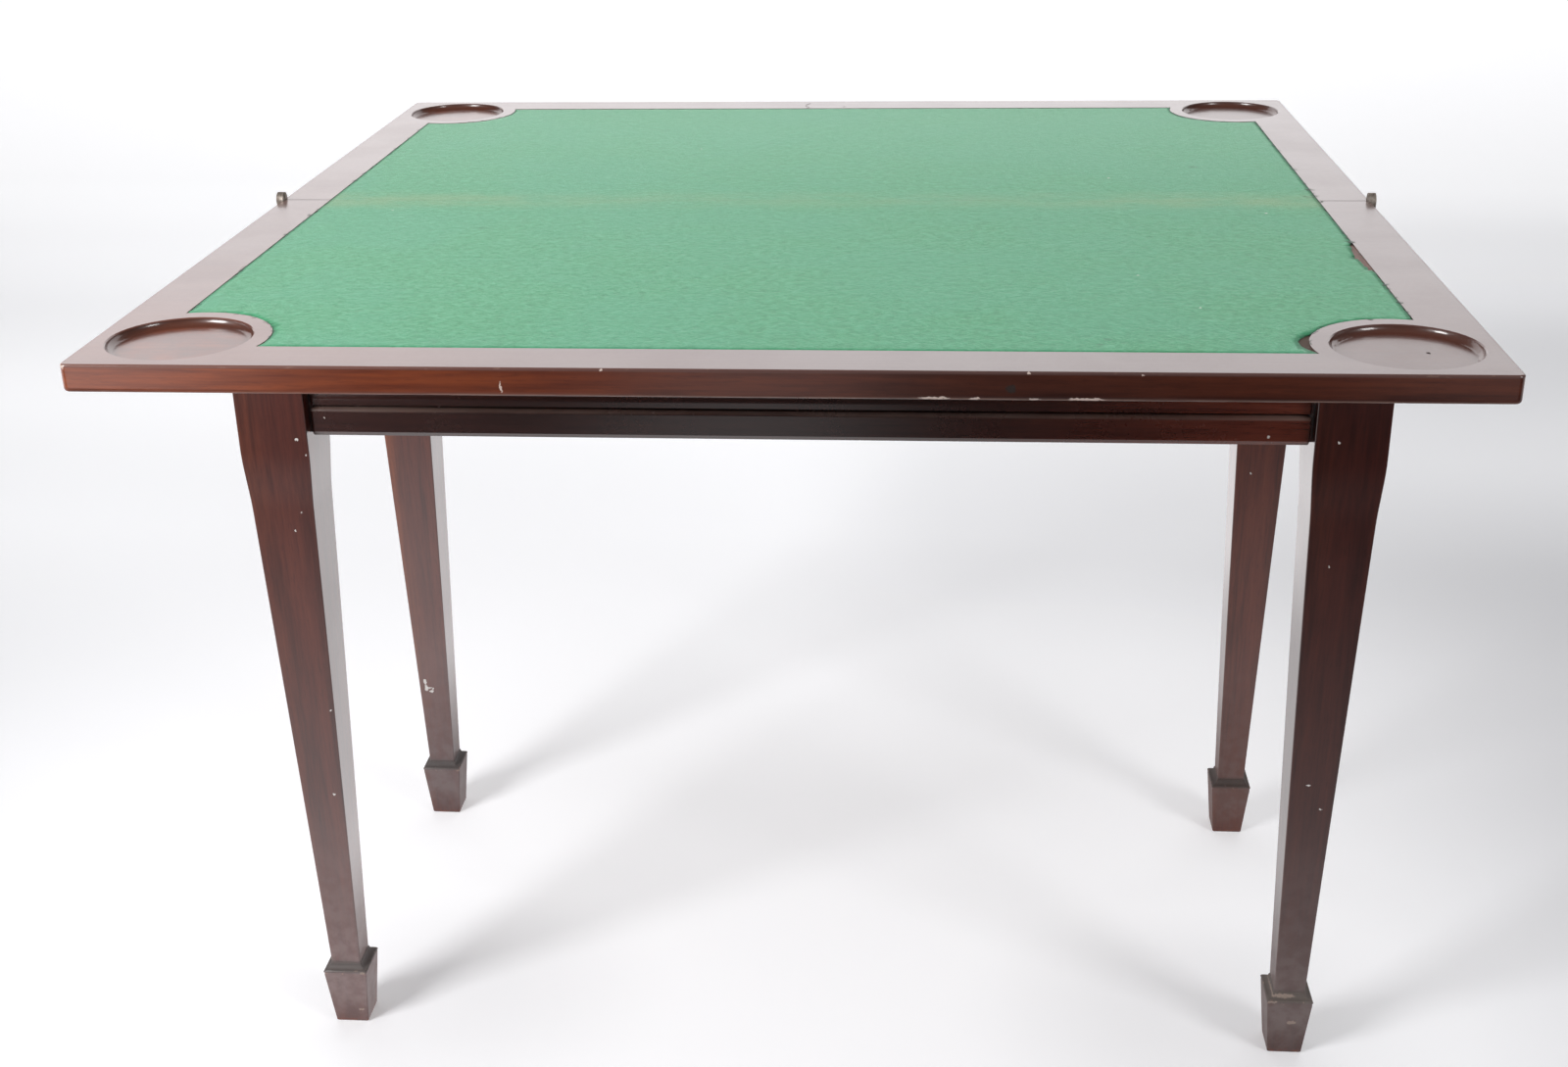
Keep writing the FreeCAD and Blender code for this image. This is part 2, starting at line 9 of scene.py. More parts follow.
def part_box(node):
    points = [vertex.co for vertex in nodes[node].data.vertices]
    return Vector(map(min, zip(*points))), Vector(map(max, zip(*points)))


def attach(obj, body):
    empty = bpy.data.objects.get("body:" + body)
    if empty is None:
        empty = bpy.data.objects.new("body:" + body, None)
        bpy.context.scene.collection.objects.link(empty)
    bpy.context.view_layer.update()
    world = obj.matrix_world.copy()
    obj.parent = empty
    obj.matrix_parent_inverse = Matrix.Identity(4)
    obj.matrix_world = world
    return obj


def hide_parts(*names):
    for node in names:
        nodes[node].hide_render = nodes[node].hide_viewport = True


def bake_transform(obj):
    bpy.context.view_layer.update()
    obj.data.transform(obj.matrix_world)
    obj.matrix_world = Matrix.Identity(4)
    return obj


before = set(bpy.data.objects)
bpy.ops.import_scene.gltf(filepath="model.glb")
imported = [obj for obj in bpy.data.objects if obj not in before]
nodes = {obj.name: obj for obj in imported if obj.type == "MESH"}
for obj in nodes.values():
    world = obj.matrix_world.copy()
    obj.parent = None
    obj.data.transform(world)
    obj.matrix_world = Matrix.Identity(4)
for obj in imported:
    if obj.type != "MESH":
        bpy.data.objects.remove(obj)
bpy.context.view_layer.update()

# Sizes of the table, in metres
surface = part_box("front_leaf")[1].z
half_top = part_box("front_leaf")[1].x
leaf_depth = -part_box("front_leaf")[0].y
leaf_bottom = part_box("front_leaf")[0].z
frame_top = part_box("rail_front")[1].z
well_radius = 0.0475
well_inset = 0.0585
well_collar = 0.0125
well_x = half_top - well_inset
well_y = leaf_depth - well_inset

# Baize
cloth_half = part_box("baize_front_half")[1].x
cloth_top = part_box("baize_front_half")[1].z
cloth_thickness = 0.0014
cloth_step = 0.004
cloth_dip = 0.00010
cloth_rim_dip = 0.00025

# The stretch at the right where the cloth is torn
torn_middle = -0.178
torn_half = 0.042
torn_reach = 0.0068

# Where the cloth has come away beside the front right well
peeled_reach = 0.0062
peeled_turn = 0.36

# Threads, lint and hairs: the heights at which they lie, and how thick they are
thread_level = surface + 0.00007
thread_thickness = 0.00013
lint_level = cloth_top + 0.00018
lint_thickness = 0.0002
hair_level = surface + 0.00013
hair_width = 0.0006
hair_thickness = 0.0002

# Legs: heights above the floor, and widths across the leg
leg_block = 0.0555
block_end = frame_top - 0.130
shoulder_height = 0.055
shaft_top = 0.0500
shaft_bottom = 0.0260
foot_bottom = 0.0287
foot_rim_height = 0.0545
foot_rim_thickness = 0.003
foot_rim_lip = 0.0011
foot_rim_ease = 0.0005
foot_cove = 0.0045
foot_fillet = 0.001
leg_arris = 0.0008

# Camera: the image is 1600 by 1089 pixels
image_width = 1600
focal_pixels = 1944.4
camera_place = Vector((0.0973, -1.5791, 1.0758))
camera_yaw = 0.0811
camera_pitch = 0.4013
camera_roll = -0.0176

# Glow of the stage: how much of its white is there without the lamps
floor_glow = 0.36
wall_glow = 0.80

# Strength of the light from all round: on the table, to the camera, and what is left out
# where the polish mirrors it
room_light = 0.12
room_seen = 0.97
room_not_mirrored = 0.08

# Ragged outline of small marks: scale of its noise and how far it strays, in metres
mark_grain = 450
mark_stray = 0.004

X = Vector((1, 0, 0))


# Colours and material nodes


def shade(red, green, blue):
    """A colour given as display values from 0 to 255, in linear light."""
    values = []
    for value in (red, green, blue):
        part = value / 255
        values.append(part / 12.92 if part <= 0.04045 else ((part + 0.055) / 1.055) ** 2.4)
    return (*values, 1.0)


class Finish:
    """A material and the nodes that make it."""

    def __init__(self, name):
        self.material = bpy.data.materials.new(name)
        self.material.use_nodes = True
        self.tree = self.material.node_tree
        self.shader = self.tree.nodes["Principled BSDF"]
        self.object_place = self.node("TexCoord").outputs["Object"]

    def node(self, kind, inputs=None, **settings):
        """Adds a node; an input is a plain value or another node's output."""
        made = self.tree.nodes.new("ShaderNode" + kind)
        for key, value in settings.items():
            setattr(made, key, value)
        for socket, value in (inputs or {}).items():
            self.put(made.inputs[socket], value)
        return made

    def put(self, socket, value):
        if isinstance(value, bpy.types.NodeSocket):
            self.tree.links.new(value, socket)
        else:
            socket.default_value = value

    def set(self, **values):
        """Sets the shader's sockets; an underscore stands for a space in the name."""
        for name, value in values.items():
            self.put(self.shader.inputs[name.replace("_", " ")], value)

    def stretched(self, scale, move=(0, 0, 0)):
        """Object coordinates, scaled to draw a pattern out along an axis."""
        inputs = {0: self.object_place, "Scale": scale, "Location": move}
        return self.node("Mapping", inputs).outputs[0]

    def axis(self, name):
        """One of the Object coordinates."""
        return self.node("SeparateXYZ", {0: self.object_place}).outputs[name]

    def noise(self, at, size, detail=4.0, roughness=0.55, distortion=0.0):
        """Noise whose blobs are about size metres across."""
        inputs = {"Vector": at, "Scale": 1 / size, "Detail": detail}
        inputs.update({"Roughness": roughness, "Distortion": distortion})
        return self.node("TexNoise", inputs).outputs["Fac"]

    def band(self, value, low, high, start=0.0, end=1.0):
        """Runs smoothly from start to end while value goes from low to high."""
        inputs = {"Value": value, "From Min": low, "From Max": high, "To Min": start, "To Max": end}
        return self.node("MapRange", inputs, interpolation_type="SMOOTHSTEP").outputs["Result"]

    def math(self, kind, first, *others):
        """A value worked out with each of the others in turn."""
        for other in others or (0.0,):
            first = self.node("Math", {0: first, 1: other}, operation=kind).outputs[0]
        return first

    def times(self, *values):
        return self.math("MULTIPLY", *values)

    def window(self, value, rise, fall):
        """1 between two soft edges, each given by the values where it starts and ends."""
        return self.times(self.band(value, *rise), self.band(value, *fall, 1.0, 0.0))

    def length(self, x, y):
        return self.math("SQRT", self.math("ADD", self.times(x, x), self.times(y, y)))

    def sway(self, at, size, reach, detail=4.0):
        """Noise to either side of zero, by half of reach."""
        return self.times(self.math("SUBTRACT", self.noise(at, size, detail), 0.5), reach)

    def vector(self, kind, first, second=(0, 0, 0), output="Vector"):
        return self.node("VectorMath", {0: first, 1: second}, operation=kind).outputs[output]

    def ramp(self, value, stops):
        """A colour from stops of place and colour."""
        made = self.node("ValToRGB", {"Fac": value})
        points = made.color_ramp.elements
        while len(points) < len(stops):
            points.new(0.5)
        for point, (place, colour) in zip(points, stops):
            point.position = place
            point.color = colour
        return made.outputs["Color"]

    def mix(self, amount, first, second, kind="MIX"):
        """One colour over another by an amount."""
        made = self.node("Mix", data_type="RGBA", blend_type=kind)
        self.put(made.inputs[0], amount)
        self.put(made.inputs[6], first)
        self.put(made.inputs[7], second)
        return made.outputs[2]

    def marks(self, spots):
        """1 inside rough-edged spots, each a place and its half sizes along the axes."""
        inputs = {"Vector": self.object_place, "Scale": mark_grain, "Detail": 3}
        ragged = self.node("TexNoise", inputs).outputs["Color"]
        shift = self.vector("SUBTRACT", ragged, (0.5, 0.5, 0.5))
        shift = self.vector("MULTIPLY", shift, (mark_stray, mark_stray, mark_stray))
        place = self.vector("ADD", self.object_place, shift)
        inside = 0.0
        for centre, sizes in spots:
            scaled = self.vector("DIVIDE", self.vector("SUBTRACT", place, centre), sizes)
            reach = self.vector("LENGTH", scaled, output="Value")
            inside = self.math("MAXIMUM", self.band(reach, 0.75, 1.1, 1.0, 0.0), inside)
        return inside

    def bump(self, height, strength, depth, under=None):
        """A bump; depth is in metres."""
        inputs = {"Height": height, "Strength": strength, "Distance": depth}
        if under is not None:
            inputs["Normal"] = under
        return self.node("Bump", inputs).outputs["Normal"]


GRAIN_STRETCH = {"X": (0.045, 1, 1), "Y": (1, 0.045, 1), "Z": (1, 1, 0.045)}
PORE_STRETCH = {"X": (0.09, 1, 1), "Y": (1, 0.09, 1), "Z": (1, 1, 0.09)}


def mahogany(name, along, gloss=0.28, move=(0, 0, 0)):
    """Polished mahogany with its grain along one axis; figure is the grain that tints a tone."""
    finish = Finish(name)
    at = finish.stretched(GRAIN_STRETCH[along], move)
    figure = finish.noise(at, size=0.020, detail=3, distortion=0.5)
    grain = finish.noise(at, size=0.0030, detail=6, roughness=0.6)
    mixed = finish.math("ADD", finish.times(figure, 0.5), finish.times(grain, 0.5))
    streaks = finish.ramp(mixed, [
        (0.34, (0.50, 0.40, 0.42, 1)), (0.5, (1, 1, 1, 1)), (0.68, (1.45, 1.6, 1.5, 1))])
    pore_place = finish.stretched(PORE_STRETCH[along], move)
    pores = finish.band(finish.noise(pore_place, size=0.0011, detail=2), 0.56, 0.68)
    finish.figure = finish.mix(finish.times(pores, 0.35), streaks, (0.45, 0.38, 0.4, 1))
    cloudy = finish.noise(finish.stretched((1, 1, 1), move), size=0.09, detail=3)
    rubbed = finish.band(cloudy, 0.35, 0.7, gloss, gloss + 0.06)
    fine = finish.noise(finish.object_place, size=0.004, detail=3)
    finish.rough = finish.math("ADD", rubbed, finish.times(fine, 0.05))
    finish.set(Roughness=finish.rough)
    finish.set(Normal=finish.bump(finish.math("SUBTRACT", 1.0, pores), 0.2, 0.00004))
    finish.set(Coat_Weight=1.0, Coat_IOR=1.6, Coat_Roughness=0.16)
    return finish


def tinted(finish, tone):
    """A tone with the wood's figure in it."""
    return finish.mix(1.0, tone, finish.figure, "MULTIPLY")


# Marks of use on the leaves, each a place and its half sizes along the axes
front_face = -leaf_depth
pale_chips = [
    ((0.101, front_face, leaf_bottom + 0.0013), (0.0100, 0.004, 0.0012)),
    ((0.126, front_face, leaf_bottom + 0.0012), (0.0036, 0.004, 0.0009)),
    ((0.163, front_face, leaf_bottom + 0.0012), (0.0036, 0.004, 0.0009)),
    ((0.195, front_face, leaf_bottom + 0.0012), (0.0120, 0.004, 0.0011)),
    ((0.159, front_face, surface - 0.0012), (0.0011, 0.004, 0.0007)),
    ((0.228, front_face, surface - 0.0012), (0.0009, 0.004, 0.0006)),
    ((-0.171, front_face, surface - 0.0125), (0.0006, 0.004, 0.0042)),
    ((-0.107, front_face, surface - 0.0012), (0.0012, 0.004, 0.0006)),
    ((-0.4555, front_face, surface - 0.0014), (0.0030, 0.004, 0.0016)),
]
dark_marks = [
    ((0.148, front_face, surface - 0.011), (0.0034, 0.004, 0.0028)),
    ((0.4125, -0.397, surface - 0.005), (0.0012, 0.0018, 0.003)),
]
bare_wood = [((0.4140, -0.178, surface - 0.0016), (0.0085, 0.043, 0.003))]
recess_dirt = [((0.3385, -0.385, surface - 0.0016), (0.0100, 0.024, 0.0012))]
cloth_marks = [
    ((0.329, 0.131, surface), (0.0045, 0.0045, 0.01)),
    ((0.212, -0.388, surface), (0.0035, 0.0030, 0.01)),
    ((0.206, -0.399, surface), (0.0022, 0.0022, 0.01)),
]


def top_mahogany():
    """The leaves: honey brown at the left, darker and redder to the right, pale at the arrises."""
    finish = mahogany("polished_top_mahogany", "X")
    place = finish.object_place
    x, y, z = finish.axis("X"), finish.axis("Y"), finish.axis("Z")

    # The tone across the top, bleached where it faces up and with a painted sheen that grows paler
    # to the back
    across = finish.math("ADD", x, finish.sway(place, 0.16, 0.18))
    across = finish.node("MapRange", {"Value": across, "From Min": -0.5, "From Max": 0.5})
    tone = finish.ramp(across.outputs["Result"], [
        (0.13, (0.220, 0.042, 0.0075, 1)), (0.36, (0.118, 0.021, 0.005, 1)),
        (0.62, (0.048, 0.010, 0.0042, 1)), (0.92, (0.080, 0.016, 0.006, 1))])
    on_top = finish.band(z, surface - 0.0024, surface - 0.0014)
    painted_sheen_to_back = finish.band(y, -0.42, -0.15, 0.62, 0.85)
    bleached_and_painted_sheen = finish.mix(finish.times(on_top, painted_sheen_to_back), tone, (0.095, 0.052, 0.047, 1))
    wood = finish.mix(finish.times(on_top, 0.8), tinted(finish, bleached_and_painted_sheen), bleached_and_painted_sheen)

    # The lower face and the arrises, worn pale; the pale lower arris is also a painted highlight
    low_face_wear_and_highlight = finish.band(z, leaf_bottom + 0.0008, leaf_bottom + 0.0024, 1.0, 0.0)
    broken = finish.noise(finish.stretched((0.3, 0.3, 1)), size=0.012, detail=3)
    broken = finish.band(broken, 0.36, 0.6, 0.3, 1.0)
    wood = finish.mix(finish.times(low_face_wear_and_highlight, broken, 0.45), wood, (0.30, 0.16, 0.11, 1))
    out_x, out_y = finish.math("ABSOLUTE", x), finish.math("ABSOLUTE", y)
    perimeter = finish.math("MAXIMUM", out_x, out_y)
    at_edge = finish.band(perimeter, half_top - 0.0022, half_top - 0.0008)
    high_arris = finish.times(finish.band(z, surface - 0.0018, surface - 0.0008), at_edge)
    chipped = finish.noise(finish.stretched((0.5, 1, 1)), size=0.006, detail=4)
    chipped = finish.band(chipped, 0.60, 0.68)
    wood = finish.mix(finish.times(high_arris, chipped, 0.15), wood, (0.46, 0.30, 0.22, 1))

    # The wells, with a dull patina and redder walls
    from_well_x = finish.math("SUBTRACT", out_x, well_x)
    from_well_y = finish.math("SUBTRACT", out_y, well_y)
    from_well = finish.length(from_well_x, from_well_y)
    in_well = finish.band(from_well, well_radius + 0.0006, well_radius + 0.0012, 1.0, 0.0)
    above = finish.band(z, surface - 0.009, surface - 0.007)
    below = finish.band(z, surface - 0.0012, surface - 0.0004, 1.0, 0.0)
    sunk = finish.times(in_well, above, below)
    wall = finish.times(sunk, finish.band(from_well, well_radius - 0.009, well_radius - 0.004))
    patina = finish.band(finish.noise(place, size=0.022, detail=4), 0.35, 0.7, 0.45, 0.8)
    wood = finish.mix(finish.times(sunk, patina), wood, (0.085, 0.040, 0.034, 1))
    wood = finish.mix(finish.times(wall, 0.8), wood, (0.070, 0.022, 0.013, 1))

    # The seam between the leaves, and the marks of use
    beside_seam = finish.band(out_y, 0.0003, 0.0012, 0.8, 0.0)
    seam = finish.times(beside_seam, finish.band(z, surface - 0.001, surface))
    wood = finish.mix(seam, wood, (0.02, 0.012, 0.011, 1))
    recess = finish.band(z, surface - 0.0012, surface - 0.0006, 1.0, 0.0)
    bare = finish.times(finish.marks(bare_wood), recess)
    soiled = finish.times(finish.marks(recess_dirt), recess)
    dark = finish.marks(dark_marks)
    pale = finish.marks(pale_chips)
    wood = finish.mix(finish.times(bare, 0.85), wood, (0.30, 0.205, 0.185, 1))
    wood = finish.mix(finish.times(soiled, 0.9), wood, (0.085, 0.058, 0.044, 1))
    wood = finish.mix(finish.times(pale, 0.85), wood, (0.62, 0.50, 0.44, 1))
    wood = finish.mix(finish.times(dark, 0.85), wood, (0.012, 0.006, 0.004, 1))
    finish.set(Base_Color=wood)

    # Where the polish has gone
    low_arris = finish.window(
        z, (leaf_bottom + 0.0001, leaf_bottom + 0.0006),
        (leaf_bottom + 0.0018, leaf_bottom + 0.0034))
    low_arris, high_arris = finish.times(low_arris, 0.85), finish.times(high_arris, 0.45)
    unpolished = finish.math("MAXIMUM", low_arris, high_arris, bare, soiled, dark, seam)
    rough = finish.math("ADD", finish.rough, finish.times(sunk, 0.08))
    finish.set(Roughness=finish.math("ADD", rough, finish.times(unpolished, 0.35)))
    finish.set(Coat_Weight=finish.math("SUBTRACT", 1.0, unpolished))
    return finish.material


def rail_mahogany(name, along):
    """The frame's sides and their mouldings, redder to the right, with painted highlights on the
    mouldings.
    """
    finish = mahogany(name, along, 0.22)
    right = finish.band(finish.axis("X"), 0.05, 0.35)
    wood = tinted(finish, finish.mix(right, (0.036, 0.008, 0.0055, 1), (0.105, 0.019, 0.009, 1)))
    z = finish.axis("Z")
    # Painted highlights, with some wear, on the round of the lower moulding and the top arris of
    # the upper one
    foot = frame_top - 0.121
    low_round_highlight = finish.window(z, (foot + 0.0190, foot + 0.0208), (foot + 0.0230, foot + 0.0236))
    high_arris = finish.window(z, (foot + 0.0338, foot + 0.0352), (foot + 0.0360, foot + 0.0364))
    streaky = finish.noise(finish.stretched((0.2, 0.2, 1)), size=0.02, detail=4)
    streaky = finish.band(streaky, 0.3, 0.6, 0.35, 1.0)
    painted_highlight_and_wear = finish.times(finish.math("MAXIMUM", low_round_highlight, high_arris), streaky, 0.6)
    wood = finish.mix(painted_highlight_and_wear, wood, (0.20, 0.15, 0.13, 1))
    specks = finish.marks([
        ((-0.374, -0.203, frame_top - 0.106), (0.0006, 0.02, 0.0006)),
        ((0.354, -0.203, frame_top - 0.114), (0.0013, 0.02, 0.0013))])
    finish.set(Base_Color=finish.mix(specks, wood, (0.6, 0.56, 0.52, 1)))
    return finish.material


def leg_mahogany(name, move, centre, tone, warm, dirt, flared, specks, scuffs):
    """The legs: grain down the leg, warmer to one side, dull and dirty at the foot, where the pale
    dust is partly a painted reflection.
    """
    finish = mahogany(name, "Z", move=move)
    place = finish.object_place
    x, z = finish.axis("X"), finish.axis("Z")

    def patches(rows):
        return finish.marks([
            ((centre.x + across, centre.y, up), (wide, 0.06, tall))
            for across, up, wide, tall in rows])

    # Tone, warmer to the left
    left = finish.band(x, centre.x - 0.026, centre.x + 0.002, 1.0, 0.0)
    blotch = finish.noise(finish.stretched((1, 1, 0.2)), size=0.03, detail=3)
    blotch = finish.band(blotch, 0.35, 0.65, 0.3, 1.0)
    glow = finish.times(left, blotch, warm)
    wood = tinted(finish, finish.mix(glow, tone, (0.34, 0.085, 0.018, 1)))

    # Dust, partly a painted reflection of the floor, and the grey hollow over the foot's rim
    low = finish.band(z, 0.030, 0.26, 1.0, 0.0)
    cloud = finish.band(finish.noise(place, size=0.012, detail=4), 0.35, 0.65, 0.60, 0.85)
    dust_and_painted_reflection = finish.times(low, cloud, finish.band(z, 0.002, 0.038, 0.5, 1.0))
    share = finish.band(z, 0.050, 0.16, 0.25, 0.55)
    wood = finish.mix(dust_and_painted_reflection, wood, finish.mix(share, dirt, tone))
    flare = finish.window(z, (0.0545, 0.0575), (0.0615, 0.066))
    wood = finish.mix(finish.times(flare, 0.75), wood, flared)

    # Wear on the foot's rim and sole, and marks of use
    rubbed = finish.band(finish.noise(place, size=0.005, detail=4), 0.58, 0.66)
    rim = finish.window(z, (0.053, 0.0545), (0.0568, 0.058))
    wood = finish.mix(finish.times(rim, rubbed, 0.6), wood, (0.36, 0.24, 0.19, 1))
    sole = finish.band(z, 0.001, 0.005, 1.0, 0.0)
    ragged = finish.band(finish.noise(place, size=0.004, detail=4), 0.42, 0.58)
    wood = finish.mix(finish.times(sole, ragged, 0.7), wood, (0.19, 0.058, 0.032, 1))
    wood = finish.mix(finish.times(patches(scuffs), 0.6), wood, (0.38, 0.29, 0.24, 1))
    wood = finish.mix(finish.times(patches(specks), 0.9), wood, (0.70, 0.67, 0.64, 1))
    finish.set(Base_Color=wood)

    dull = finish.times(finish.band(z, 0.045, 0.20, 1.0, 0.0), 0.85)
    dull = finish.math("MAXIMUM", dull, flare)
    finish.set(Roughness=finish.math("ADD", finish.rough, finish.times(dull, 0.38)))
    finish.set(Coat_Weight=finish.math("SUBTRACT", 1.0, dull))
    return finish.material


def inner_beech():
    """Unpolished wood inside the frame."""
    finish = Finish("inner_beech")
    at = finish.stretched(GRAIN_STRETCH["Y"])
    grain = finish.noise(at, size=0.004, detail=6, distortion=0.4)
    flecks = finish.noise(finish.stretched((1, 0.2, 0.6)), size=0.0015, detail=2)
    flecks = finish.band(flecks, 0.58, 0.66)
    wood = finish.ramp(grain, [
        (0.3, shade(128, 92, 62)), (0.55, shade(164, 124, 86)), (0.75, shade(186, 148, 108))])
    wood = finish.mix(finish.times(flecks, 0.4), wood, shade(104, 70, 46))
    dirt = finish.band(finish.noise(finish.object_place, size=0.05, detail=4), 0.4, 0.75)
    wood = finish.mix(finish.times(dirt, 0.35), wood, shade(92, 70, 54))
    finish.set(Base_Color=wood, Roughness=0.62)
    finish.set(Normal=finish.bump(grain, 0.3, 0.0002))
    return finish.material


def baize_cloth():
    """Felted green baize: matted nap, a worn olive crease along the fold, and edges darkened by
    dirt and painted shade.
    """
    finish = Finish("green_baize")
    place = finish.object_place
    x, y = finish.axis("X"), finish.axis("Y")

    # The nap, with painted shade darker to the right and a painted sheen paler to the back
    mat = finish.noise(place, size=0.0060, detail=6, roughness=0.72, distortion=0.6)
    nap = finish.noise(place, size=0.0014, detail=3, roughness=0.7)
    cloud = finish.noise(place, size=0.11, detail=3)
    cloth = finish.ramp(mat, [
        (0.30, (0.026, 0.190, 0.082, 1)), (0.5, (0.052, 0.285, 0.134, 1)),
        (0.70, (0.110, 0.405, 0.225, 1))])
    cloth = finish.mix(finish.band(cloud, 0.35, 0.65, 0.0, 0.30), cloth, (0.070, 0.310, 0.205, 1))
    cloth = finish.mix(finish.times(nap, 0.22), cloth, (0.034, 0.174, 0.080, 1))
    # Painted shade, darker to the right
    right = finish.band(x, -0.40, 0.28, 0.04, 0.42)
    cloth = finish.mix(right, cloth, finish.mix(1.0, cloth, (0.56, 0.74, 0.66, 1), "MULTIPLY"))
    # Painted sheen, paler to the back
    back = finish.band(y, -0.05, 0.40, 0.0, 0.30)
    cloth = finish.mix(back, cloth, (0.21, 0.48, 0.31, 1))

    # The crease along the fold, stained olive
    from_fold = finish.math("ABSOLUTE", finish.math("ADD", y, finish.sway(place, 0.05, 0.012, 2)))
    spread = finish.sway(place, 0.03, 0.030, 5)
    stain = finish.band(finish.math("ADD", from_fold, spread), 0.004, 0.044, 1.0, 0.0)
    streaks = finish.noise(finish.stretched((1, 2, 1)), size=0.045, detail=5)
    streaks = finish.band(streaks, 0.32, 0.62, 0.3, 1.0)
    ends = finish.math("ABSOLUTE", finish.math("SUBTRACT", x, 0.02))
    ends = finish.band(ends, 0.12, 0.36, 0.5, 1.0)
    stain = finish.times(stain, streaks, ends, 0.60)
    cloth = finish.mix(stain, cloth, (0.175, 0.265, 0.120, 1))
    crease = finish.band(from_fold, 0.0, 0.0016, 1.0, 0.0)
    crease = finish.times(crease, streaks, 0.4)
    cloth = finish.mix(crease, cloth, (0.093, 0.117, 0.054, 1))

    # Soil, spots, and the frayed rim, darkened by dirt and painted shade
    soil = finish.band(finish.noise(place, size=0.028, detail=3), 0.66, 0.76)
    cloth = finish.mix(finish.times(soil, 0.18), cloth, (0.061, 0.156, 0.098, 1))
    spots = finish.times(finish.marks(cloth_marks), 0.4)
    cloth = finish.mix(spots, cloth, (0.02, 0.06, 0.035, 1))
    rim = finish.node("Attribute", attribute_name="rim").outputs["Fac"]
    ragged = finish.band(finish.noise(place, size=0.006, detail=4), 0.44, 0.62, 0.05, 1.0)
    frayed_and_shaded_rim = finish.times(finish.band(rim, 0.35, 1.0), ragged)
    cloth = finish.mix(finish.times(frayed_and_shaded_rim, 0.55), cloth, (0.024, 0.065, 0.040, 1))
    finish.set(Base_Color=cloth, Roughness=0.95, Specular_IOR_Level=0.15)
    finish.set(Sheen_Weight=0.6, Sheen_Roughness=0.4, Sheen_Tint=(0.672, 0.871, 0.745, 1))
    under = finish.bump(mat, 0.7, 0.0007)
    finish.set(Normal=finish.bump(nap, 0.8, 0.0005, under))
    return finish.material


def aged_brass():
    """Dull grey-brown brass."""
    finish = Finish("aged_brass")
    tarnish = finish.noise(finish.object_place, size=0.004, detail=5)
    metal = finish.ramp(tarnish, [
        (0.3, shade(116, 104, 96)), (0.55, shade(160, 150, 141)), (0.75, shade(184, 175, 164))])
    finish.set(Base_Color=metal, Metallic=0.7)
    finish.set(Roughness=finish.band(tarnish, 0.3, 0.7, 0.66, 0.50))
    finish.set(Normal=finish.bump(tarnish, 0.35, 0.00012))
    return finish.material


def dull_steel():
    finish = Finish("dull_steel")
    scale = finish.noise(finish.object_place, size=0.003, detail=5)
    metal = finish.ramp(scale, [(0.35, shade(88, 84, 80)), (0.65, shade(142, 138, 132))])
    finish.set(Base_Color=metal, Metallic=1.0)
    finish.set(Roughness=finish.band(scale, 0.3, 0.7, 0.5, 0.32))
    return finish.material


def white_fluff():
    """White fluff, chalky and a little dirty."""
    finish = Finish("splashed_paint")
    dirt = finish.noise(finish.object_place, size=0.002, detail=4)
    white = finish.ramp(dirt, [(0.3, shade(196, 188, 180)), (0.6, shade(232, 229, 224))])
    finish.set(Base_Color=white, Roughness=0.7)
    finish.set(Normal=finish.bump(dirt, 0.4, 0.0002))
    return finish.material


def thread_cotton(name, dark, light):
    finish = Finish(name)
    twist = finish.noise(finish.object_place, size=0.0015, detail=3)
    cotton = finish.ramp(twist, [(0.35, dark), (0.65, light)])
    finish.set(Base_Color=cotton, Roughness=0.9, Sheen_Weight=0.3)
    return finish.material


def dress(node, material):
    """Gives a CAD node its material."""
    node.data.materials.clear()
    node.data.materials.append(material)


def only(kind, parts):
    """Those of the parts a bmesh operator gives back that are of one kind."""
    return [part for part in parts if isinstance(part, kind)]


def piece_from(mesh, name, material, smooth_angle=28):
    """A piece at the origin from a bmesh; edges bent by more than the angle are sharp."""
    bmesh.ops.recalc_face_normals(mesh, faces=mesh.faces)
    for face in mesh.faces:
        face.smooth = True
    for edge in mesh.edges:
        edge.smooth = edge.smooth and edge.calc_face_angle(0.0) < math.radians(smooth_angle)
    data = bpy.data.meshes.new(name)
    mesh.to_mesh(data)
    mesh.free()
    data.materials.append(material)
    piece = bpy.data.objects.new(name, data)
    bpy.context.scene.collection.objects.link(piece)
    return piece


# Legs


def shoulder_levels(steps=10):
    """The soft S from the block to the top of the taper, as heights and widths."""
    end = block_end - shoulder_height
    fall = (shaft_top - shaft_bottom) / (end - foot_rim_height)
    levels = []
    for step in range(1, steps + 1):
        part = step / steps
        eased = part * part * (3 - 2 * part)
        drift = fall * shoulder_height * (part ** 3 - part ** 2)
        width = leg_block + (shaft_top - leg_block) * eased - drift
        levels.append((block_end - shoulder_height * part, width))
    return levels


